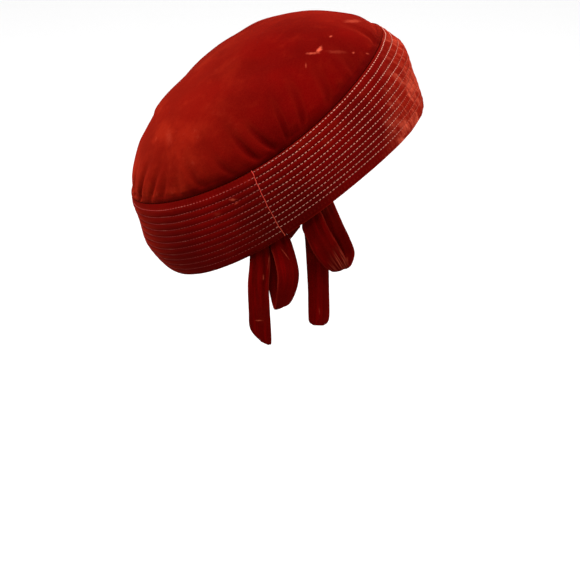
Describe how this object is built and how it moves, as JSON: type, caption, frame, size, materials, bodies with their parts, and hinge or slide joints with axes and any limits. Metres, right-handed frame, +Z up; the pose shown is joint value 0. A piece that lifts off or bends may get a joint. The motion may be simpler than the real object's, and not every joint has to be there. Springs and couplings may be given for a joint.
{
  "type": "pillbox hat",
  "caption": "Soft velvet pillbox hat with a gathered crown, a deep top-stitched band and a ribbon bow hanging at the back, kept at the slant it is worn.",
  "frame": {"origin": "middle of the head opening, at the band's lower edge", "axes": "+Z up for an upright head, +Y the way the wearer faces, +X the wearer's right; the hat leans 30 degrees to the wearer's left and 10 degrees back, and the ribbons hang along -Z"},
  "size_m": [0.1847, 0.2053, 0.1916],
  "materials": {
    "velvet_band": "dark red velvet pile",
    "velvet_crown": "dark red velvet pile",
    "velvet_bow_knot": "dark red velvet pile",
    "velvet_left_tail": "dark red velvet pile",
    "velvet_left_loop": "dark red velvet pile",
    "velvet_right_tail": "dark red velvet pile",
    "velvet_right_loop": "dark red velvet pile"
  },
  "bodies": {
    "root": {"band": "velvet_band", "crown": "velvet_crown", "bow_knot": "velvet_bow_knot", "left_tail": "velvet_left_tail", "left_loop": "velvet_left_loop", "right_tail": "velvet_right_tail", "right_loop": "velvet_right_loop"}
  },
  "joints": []
}
